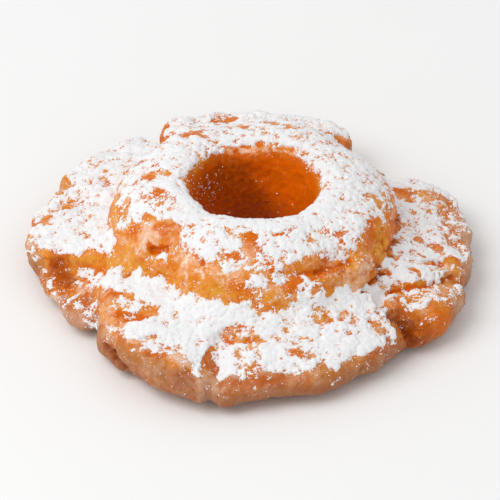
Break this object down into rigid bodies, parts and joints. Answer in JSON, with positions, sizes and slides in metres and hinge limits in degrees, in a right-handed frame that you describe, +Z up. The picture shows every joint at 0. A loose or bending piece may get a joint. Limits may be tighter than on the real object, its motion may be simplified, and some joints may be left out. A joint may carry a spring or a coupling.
{
  "type": "old-fashioned cake doughnut",
  "caption": "Round old-fashioned cake doughnut: raised crown ring round an open hole, on a wide cracked and craggy skirt of petals, dusted with powdered sugar.",
  "frame": {"origin": "middle of the doughnut's box on the surface that it rests on, close to the axis of the hole", "axes": "+Z up along the hole, away from the surface that it rests on; the picture's camera looks along +Y from the front, with +X to its right"},
  "size_m": [0.0964, 0.095, 0.0256],
  "materials": {
    "crust": "golden brown fried crust with a thin sugar glaze, craggy, half matt",
    "sugar": "white powdered sugar, matt"
  },
  "bodies": {
    "root": {"doughnut": "crust"}
  },
  "joints": []
}
